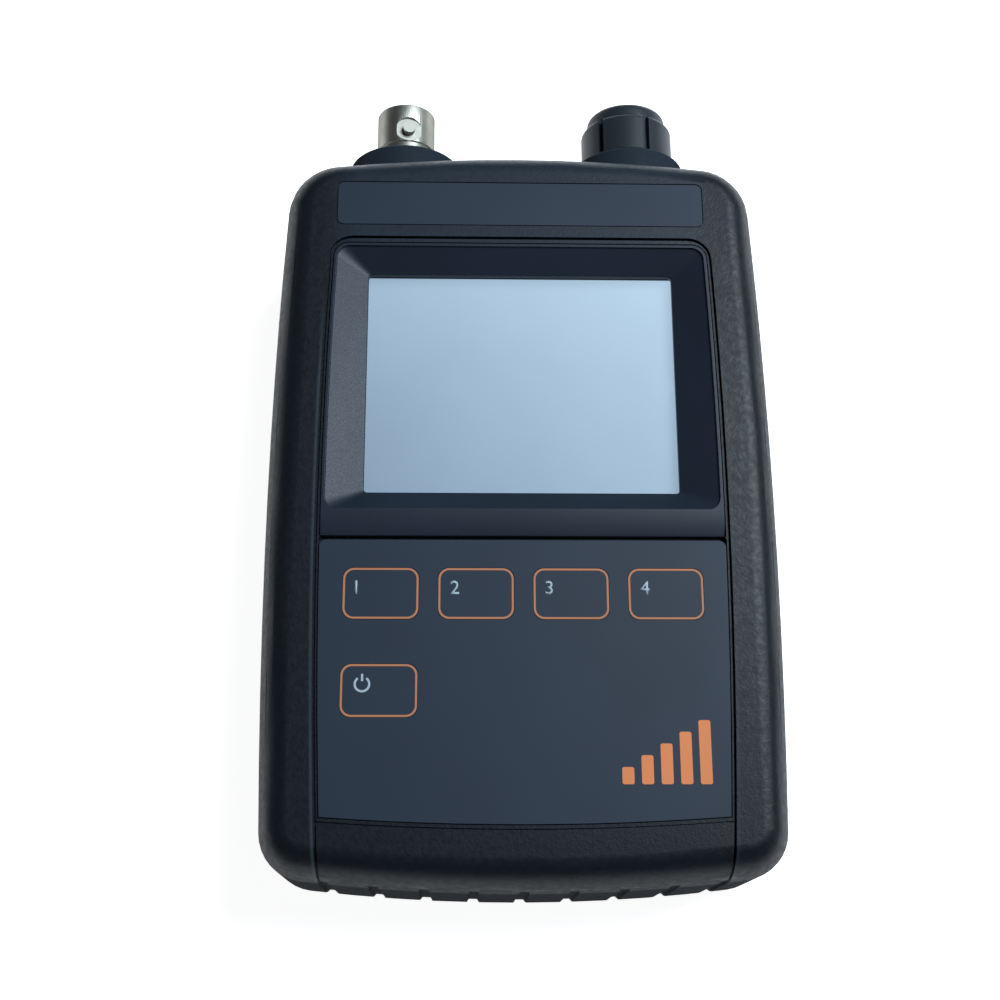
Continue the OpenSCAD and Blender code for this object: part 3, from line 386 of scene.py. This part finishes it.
def make_finishes():
    """One material for each of the record's slots, and three inks."""
    return {
        "housing": leather_grained(
            # its own colour, its paler colour above the display, and the painted seam highlight
            "housing", (0.0075, 0.0103, 0.0144), (0.018, 0.0265, 0.037), (0.038, 0.049, 0.059),
            0.42, 0.22,
        ),
        "bezel": moulded("bezel", (0.0155, 0.0235, 0.0365), 0.4, 0.2 * MM, 0.002 * MM, 0.08, 0.24),
        "label": moulded("label", (0.024, 0.0355, 0.056), 0.5, 0.14 * MM, 0.004 * MM, 0.08, 0.24),
        "key": moulded("key", (0.024, 0.0355, 0.056), 0.5, 0.14 * MM, 0.004 * MM, 0.08, 0.24),
        "knob": moulded("knob", (0.024, 0.03, 0.038), 0.42, 0.2 * MM, 0.005 * MM, 0.12, 0.2),
        "lens": clear_plastic("lens"),
        "display": lit_screen("display", (0.19, 0.285, 0.4), (0.455, 0.625, 0.785)),
        "gasket": moulded("gasket", (0.01, 0.01, 0.011), 0.8, 0.3 * MM, 0.02 * MM),
        "steel_frame": plated("steel_frame", (0.6, 0.61, 0.62), 0.35),
        "tape": moulded("tape", (0.62, 0.6, 0.54), 0.85, 0.3 * MM, 0.02 * MM),
        "flex": moulded("flex", (0.4, 0.17, 0.04), 0.3, 0.5 * MM, 0.001 * MM),
        "spacer": moulded("spacer", (0.55, 0.53, 0.46), 0.6),
        "circuit_film": moulded("circuit_film", (0.5, 0.43, 0.25), 0.35),
        "dome_steel": plated("dome_steel", (0.68, 0.68, 0.67), 0.25),
        "nickel": plated("nickel", (0.45, 0.44, 0.385), 0.42, 0.3 * MM, 0.0003 * MM, 0.35),
        "insulator": moulded("insulator", (0.8, 0.78, 0.72), 0.4, 0.4 * MM, 0.002 * MM, 0.04),
        "gold": plated("gold", (0.85, 0.6, 0.25), 0.22),
        "brass_insert": plated("brass_insert", (0.62, 0.45, 0.2), 0.3),
        "steel": plated("steel", (0.56, 0.57, 0.58), 0.28),
        "screw_black": plated("screw_black", (0.045, 0.047, 0.05), 0.35),
        "encoder_case": moulded("encoder_case", (0.1, 0.11, 0.12), 0.45),
        "board": moulded("board", (0.02, 0.12, 0.05), 0.35, 0.6 * MM, 0.003 * MM),
        "shield": plated("shield", (0.66, 0.67, 0.68), 0.38),
        "chip": moulded("chip", (0.015, 0.015, 0.016), 0.6, 0.1 * MM, 0.004 * MM),
        "socket_plastic": moulded("socket_plastic", (0.7, 0.67, 0.58), 0.45),
        "coax": moulded("coax", (0.02, 0.016, 0.013), 0.5),
        "wire": moulded("wire", (0.45, 0.03, 0.025), 0.4),
        "battery": moulded("battery", (0.05, 0.16, 0.34), 0.35, 0.8 * MM, 0.002 * MM),
        "pad": moulded("pad", (0.02, 0.02, 0.022), 0.9, 0.3 * MM, 0.03 * MM),
        "orange_ink": moulded(
            "orange_ink", (0.86, 0.27, 0.1), 0.6, 0.12 * MM, 0.002 * MM, 0.06, 0.25
        ),
        "frame_ink": moulded("frame_ink", (0.6, 0.23, 0.11), 0.6, 0.12 * MM, 0.002 * MM, 0.06, 0.25),
        "pale_ink": moulded("pale_ink", (0.46, 0.55, 0.61), 0.6, 0.12 * MM, 0.002 * MM, 0.05, 0.25),
    }


# ------------------------------------------------------------------ making pieces

def select_only(piece):
    """Selects the piece alone and makes it active."""
    bpy.ops.object.select_all(action="DESELECT")
    piece.select_set(True)
    bpy.context.view_layer.objects.active = piece


def new_piece(name):
    """The primitive just added, with its name, opened in edit mode."""
    piece = bpy.context.active_object
    piece.name = piece.data.name = name
    bpy.ops.object.mode_set(mode="EDIT")
    return piece


def pick_points(piece, test):
    """Selects the points for which test(place) holds, in edit mode."""
    bpy.ops.object.mode_set(mode="EDIT")
    bpy.ops.mesh.select_mode(type="VERT")
    bpy.ops.mesh.select_all(action="DESELECT")
    bpy.ops.object.mode_set(mode="OBJECT")
    for point in piece.data.vertices:
        point.select = test(point.co)
    bpy.ops.object.mode_set(mode="EDIT")


def applied(piece, kind, **values):
    """Adds a modifier with those values and applies it."""
    bpy.ops.object.mode_set(mode="OBJECT")
    modifier = piece.modifiers.new(kind.lower(), kind)
    for key, value in values.items():
        setattr(modifier, key, value)
    bpy.ops.object.modifier_apply(modifier=modifier.name)


def eased(piece, edge, sharp=28, segments=2):
    """Rounds the piece's sharp edges by that width, and shades it smooth."""
    applied(
        piece, "BEVEL", width=edge, segments=segments, limit_method="ANGLE",
        angle_limit=math.radians(sharp), miter_outer="MITER_ARC",
    )
    smoothed(piece)


def smoothed(piece, angle=32):
    """Shades the piece smooth but for edges sharper than angle."""
    bpy.ops.object.mode_set(mode="OBJECT")
    bpy.ops.object.shade_smooth_by_angle(angle=math.radians(angle))
    applied(piece, "WEIGHTED_NORMAL", keep_sharp=True)


def settle():
    """Puts the active piece's place, turn and scale into its mesh, and closes the mesh."""
    bpy.ops.object.mode_set(mode="EDIT")
    bpy.ops.mesh.select_all(action="SELECT")
    bpy.ops.mesh.remove_doubles(threshold=CLOSE)
    bpy.ops.mesh.normals_make_consistent(inside=False)
    bpy.ops.object.mode_set(mode="OBJECT")
    bpy.ops.object.transform_apply(location=True, rotation=True, scale=True)


def fitted(piece, body, slot, material, *stands_for):
    """Puts a finished piece on its body, with its finish."""
    piece.data.materials.clear()
    piece.data.materials.append(material)
    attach(piece, body)
    if stands_for:
        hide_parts(*stands_for)
    return piece


def copied_node(node, name):
    """A copy of a CAD node with its flat faces joined."""
    select_only(frame["nodes"][node])
    bpy.ops.object.duplicate()
    piece = bpy.context.active_object
    piece.name = piece.data.name = name
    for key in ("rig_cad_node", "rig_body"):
        del piece[key]
    piece.parent = None
    bpy.ops.object.mode_set(mode="EDIT")
    bpy.ops.mesh.select_all(action="SELECT")
    bpy.ops.mesh.remove_doubles(threshold=NODE_CLOSE)
    bpy.ops.mesh.dissolve_limited(angle_limit=math.radians(NODE_FLAT))
    bpy.ops.object.mode_set(mode="OBJECT")
    return piece


def middle_of(node):
    """The middle of a CAD node's box."""
    low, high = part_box(node)
    return (Vector(low) + Vector(high)) / 2


# ------------------------------------------------------------------ stage

def make_floor():
    """A plain pale floor that glows softly, and less far away."""
    bpy.ops.mesh.primitive_plane_add(size=FLOOR_SIZE, location=(0, 0, -FLOOR_DROP))
    floor = bpy.context.active_object
    floor.name = "floor"
    material, tree, shader = finish("floor", FLOOR_COLOUR, 0.7, specular=0.1)
    shader.inputs["Emission Strength"].default_value = FLOOR_GLOW
    away = tree.nodes.new("ShaderNodeVectorMath")
    away.operation = "LENGTH"
    tree.links.new(object_place(tree), away.inputs[0])
    fade = spread(tree, away.outputs["Value"], FLOOR_NEAR, FLOOR_FAR, 0, 1)
    glow = mixed(tree, fade, (1, 1, 1), (FLOOR_GLOW_FAR, FLOOR_GLOW_FAR, FLOOR_GLOW_FAR))
    tree.links.new(glow, shader.inputs["Emission Color"])
    floor.data.materials.append(material)


def make_window():
    """One soft window, above and to the right."""
    bpy.ops.object.light_add(type="AREA", location=WINDOW_PLACE)
    light = bpy.context.active_object
    light.name = "right_window"
    light.data.shape = "RECTANGLE"
    light.data.size, light.data.size_y = WINDOW_SIZE
    light.data.energy = WINDOW_POWER
    light.data.color = WINDOW_COLOUR
    facing = Vector(WINDOW_TARGET) - Vector(WINDOW_PLACE)
    light.rotation_euler = facing.to_track_quat("-Z", "Y").to_euler()


def make_camera():
    """A camera in front of the lower end, looking up the face."""
    turn = [math.radians(angle) for angle in CAMERA_TURN]
    bpy.ops.object.camera_add(location=CAMERA_PLACE, rotation=turn)
    camera = bpy.context.active_object
    camera.data.lens = CAMERA_LENS
    camera.data.sensor_width = 36
    camera.data.clip_start = 0.01
    bpy.context.scene.camera = camera


def make_sky():
    """A dim, even sky."""
    world = bpy.data.worlds.new("studio")
    world.use_nodes = True
    sky = world.node_tree.nodes["Background"]
    sky.inputs["Color"].default_value = (*SKY_COLOUR, 1)
    sky.inputs["Strength"].default_value = SKY_STRENGTH
    bpy.context.scene.world = world


# ------------------------------------------------------------------ the analyzer

finishes = make_finishes()
slot_of = {part["node"]: part["material_slot"] for part in frame["record"]["subparts"]}
bodies = frame["record"]["behaviour"]["bodies"]
body_of = {name: body for body, names in bodies.items() for name in names}
for name, node in frame["nodes"].items():
    node.data.materials.clear()
    node.data.materials.append(finishes[slot_of[name]])


def make_front_cover():
    """The front half of the case, with its bowed seams and grip rails."""
    piece = copied_node("front_cover", "front_cover_finished")
    eased(piece, COVER_EDGE)
    fitted(piece, "housing", "housing", finishes["housing"], "front_cover")


def make_overlay():
    """The printed overlay, with its openings drawn in close round the keys."""
    piece = copied_node("keypad_overlay", "keypad_overlay_finished")
    for key in KEYS:
        low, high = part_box(key)
        pick_points(
            piece,
            lambda at: low[0] - KEY_NEAR < at.x < high[0] + KEY_NEAR
            and low[1] - KEY_NEAR < at.y < high[1] + KEY_NEAR,
        )
        middle = middle_of(key)
        wide, tall = high[0] - low[0], high[1] - low[1]
        draw_in = ((wide + KEY_SHUT) / (wide + KEY_PLAY), (tall + KEY_SHUT) / (tall + KEY_PLAY), 1)
        bpy.ops.transform.resize(value=draw_in, center_override=middle)
    eased(piece, OVERLAY_EDGE, segments=1)
    fitted(piece, "housing", "label", finishes["label"], "keypad_overlay")


def make_key(key):
    """A key with softened edges."""
    piece = copied_node(key, key + "_finished")
    eased(piece, KEY_EDGE, segments=1)
    fitted(piece, key, "key", finishes["key"], key)


def inked(piece, material, body):
    """Gives a flat printed shape its thickness and puts it on its body."""
    applied(piece, "SOLIDIFY", thickness=INK, offset=1)
    select_only(piece)
    settle()
    fitted(piece, body, "key" if body in KEYS else "label", material)


def make_key_frame(key):
    """The printed line round a key."""
    low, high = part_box(key)
    middle = middle_of(key)
    bpy.ops.mesh.primitive_plane_add(size=1, location=(middle.x, middle.y, high[2]))
    piece = new_piece(key + "_frame")
    bpy.ops.mesh.select_all(action="SELECT")
    wide, tall = high[0] - low[0] - FRAME_IN, high[1] - low[1] - FRAME_IN
    bpy.ops.transform.resize(value=(wide, tall, 1))
    bpy.ops.mesh.bevel(affect="VERTICES", offset=FRAME_CORNER, segments=10)
    bpy.ops.mesh.select_all(action="SELECT")
    bpy.ops.mesh.inset(thickness=FRAME_LINE)
    bpy.ops.mesh.delete(type="FACE")
    inked(piece, finishes["frame_ink"], key)


def make_number(key, digit):
    """A plain number printed near the key's upper left corner."""
    low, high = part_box(key)
    bpy.ops.object.text_add(location=(0, 0, 0))
    sign = bpy.context.active_object
    sign.data.body = digit
    sign.data.size = LETTER_SIZE
    sign.data.offset = LETTER_FATTER
    bpy.ops.object.convert(target="MESH")
    piece = new_piece(key + "_number")
    bpy.ops.mesh.select_all(action="SELECT")
    bpy.ops.mesh.remove_doubles(threshold=CLOSE)
    bpy.ops.object.mode_set(mode="OBJECT")
    size = CAP_HEIGHT / piece.dimensions.y
    piece.scale = (size, size, 1)
    left = min(point.co.x for point in piece.data.vertices) * size
    foot = min(point.co.y for point in piece.data.vertices) * size
    middle = (low[1] + high[1]) / 2
    piece.location = (low[0] + LABEL_IN - left, middle + LABEL_UP - CAP_HEIGHT / 2 - foot, high[2])
    bpy.ops.object.transform_apply(location=True, rotation=True, scale=True)
    inked(piece, finishes["pale_ink"], key)


def make_power_sign():
    """The usual ring with a stroke through its gap, for the power key."""
    low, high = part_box("key_power")
    centre = Vector((low[0] + SIGN_IN, (low[1] + high[1]) / 2 + LABEL_UP, high[2]))
    bpy.ops.mesh.primitive_circle_add(vertices=60, radius=SIGN_R - SIGN_LINE / 2, location=centre)
    piece = new_piece("key_power_sign")
    bpy.ops.object.mode_set(mode="OBJECT")
    pick_points(piece, lambda at: abs(math.atan2(at.x, at.y)) < SIGN_HALF_GAP)
    bpy.ops.mesh.delete(type="VERT")
    bpy.ops.mesh.select_all(action="SELECT")
    bpy.ops.mesh.extrude_edges_move()
    grow = (SIGN_R + SIGN_LINE / 2) / (SIGN_R - SIGN_LINE / 2)
    bpy.ops.transform.resize(value=(grow, grow, 1), center_override=centre)
    bpy.ops.mesh.select_all(action="SELECT")
    bpy.ops.mesh.normals_make_consistent(inside=False)
    bpy.ops.object.mode_set(mode="OBJECT")
    faces_down = piece.data.polygons[0].normal.z < 0
    bpy.ops.object.mode_set(mode="EDIT")
    if faces_down:
        bpy.ops.mesh.select_all(action="SELECT")
        bpy.ops.mesh.flip_normals()
    stroke_middle = centre + Vector((0, STROKE_UP, 0))
    bpy.ops.mesh.primitive_plane_add(size=1, location=stroke_middle)
    bpy.ops.transform.resize(value=(SIGN_LINE, STROKE_LENGTH, 1), center_override=stroke_middle)
    inked(piece, finishes["pale_ink"], "key_power")


def make_bars():
    """Five rising bars printed in the keypad's lower right corner."""
    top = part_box("keypad_overlay")[1][2]
    bpy.ops.mesh.primitive_plane_add(size=1, location=(0, 0, top))
    piece = new_piece("rising_bars")
    bpy.ops.mesh.select_all(action="SELECT")
    bpy.ops.mesh.delete(type="VERT")
    for i in range(BARS):
        tall = BAR_LOWEST + i * BAR_RISE
        place = (BAR_LEFT + BAR_WIDE / 2 + i * BAR_STEP, BAR_FOOT + tall / 2, top)
        bpy.ops.mesh.primitive_plane_add(size=1, location=place)
        bpy.ops.transform.resize(value=(BAR_WIDE, tall, 1), center_override=place)
        bpy.ops.mesh.bevel(affect="VERTICES", offset=BAR_CORNER, segments=4)
        bpy.ops.mesh.select_all(action="DESELECT")
    inked(piece, finishes["orange_ink"], "housing")


def make_jack():
    """The jack's turned body, with flats milled round its two bayonet lugs."""
    middle = middle_of("bnc_contact")
    low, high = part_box("bnc_body")
    rear, end = low[1], high[1]
    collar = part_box("front_cover")[1][1]
    core_r = (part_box("bnc_insulator")[1][0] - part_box("bnc_insulator")[0][0]) / 2
    flange_top = collar + JACK_FLANGE_THICK
    profile = [
        (core_r + JACK_PLAY, rear), (JACK_NECK_R, rear), (JACK_NECK_R, collar),
        (JACK_FLANGE_R, collar), (JACK_FLANGE_R, flange_top - JACK_FLANGE_EDGE),
        (JACK_FLANGE_R - JACK_FLANGE_EDGE, flange_top), (JACK_NECK_R, flange_top),
        (JACK_NECK_R, end - JACK_BAND - JACK_SHOULDER), (JACK_R, end - JACK_BAND),
        (JACK_R, end - JACK_CHAMFER), (JACK_R - JACK_ROUND_IN, end - JACK_ROUND_DOWN),
        (JACK_R - JACK_CHAMFER, end), (JACK_BORE_R + JACK_BORE_LIP, end),
        (JACK_BORE_R, end - JACK_BORE_LIP), (JACK_BORE_R, end - JACK_BORE_DEEP),
        (core_r + JACK_PLAY, end - JACK_BORE_DEEP),
    ]
    bpy.ops.mesh.primitive_plane_add(size=MM, location=(0, 0, 0))
    piece = new_piece("bnc_body_finished")
    bpy.ops.mesh.select_all(action="SELECT")
    bpy.ops.mesh.merge(type="CENTER")
    at = Vector((middle.x + profile[0][0], profile[0][1], middle.z))
    bpy.ops.transform.translate(value=at)
    for r, y in profile[1:] + profile[:1]:
        to = Vector((middle.x + r, y, middle.z))
        bpy.ops.mesh.extrude_vertices_move(TRANSFORM_OT_translate={"value": to - at})
        at = to
    bpy.ops.mesh.select_all(action="SELECT")
    bpy.ops.mesh.remove_doubles(threshold=CLOSE)
    bpy.ops.mesh.spin(steps=96, angle=TURN, center=middle, axis=(0, 1, 0))
    settle()

    lug = Vector((middle.x, end - LUG_DROP, middle.z))
    for side in (0, 180):
        turn = math.radians(LUG_TURN + side)
        out = Vector((-math.sin(turn), 0, math.cos(turn)))
        bpy.ops.mesh.primitive_cylinder_add(
            vertices=64, radius=LUG_FLAT_R, depth=2 * MM,
            location=lug + out * (LUG_FLAT + MM), rotation=(0, -turn, 0),
        )
        cutter = bpy.context.active_object
        select_only(piece)
        applied(piece, "BOOLEAN", operation="DIFFERENCE", object=cutter, solver="EXACT")
        bpy.data.objects.remove(cutter)
        bpy.ops.mesh.primitive_cylinder_add(
            vertices=32, radius=LUG_R, depth=LUG_HALF_SPAN - JACK_BORE_R - LUG_ROOT,
            location=lug + out * ((LUG_HALF_SPAN + JACK_BORE_R + LUG_ROOT) / 2),
            rotation=(0, -turn, 0),
        )
        peg = new_piece("lug")
        bpy.ops.object.mode_set(mode="OBJECT")
        select_only(piece)
        applied(piece, "BOOLEAN", operation="UNION", object=peg, solver="EXACT")
        bpy.data.objects.remove(peg)
    eased(piece, JACK_EDGE, sharp=35)
    fitted(piece, "housing", "nickel", finishes["nickel"], "bnc_body")


def make_eased_copy(node, edge):
    """A CAD node with its edges rounded as the mould leaves them."""
    piece = copied_node(node, node + "_finished")
    eased(piece, edge)
    fitted(piece, body_of[node], slot_of[node], finishes[slot_of[node]], node)


make_front_cover()
make_overlay()
make_eased_copy("rear_cover", COVER_EDGE)
make_eased_copy("display_bezel", BEZEL_EDGE)
make_eased_copy("name_plate", PLATE_EDGE)
make_eased_copy("knob", COVER_EDGE)
for key in KEYS:
    make_key(key)
    make_key_frame(key)
for key, digit in zip(KEYS, "1234"):
    make_number(key, digit)
make_power_sign()
make_bars()
make_jack()

make_floor()
make_sky()
make_window()
make_camera()
bpy.context.scene.view_settings.view_transform = "Standard"
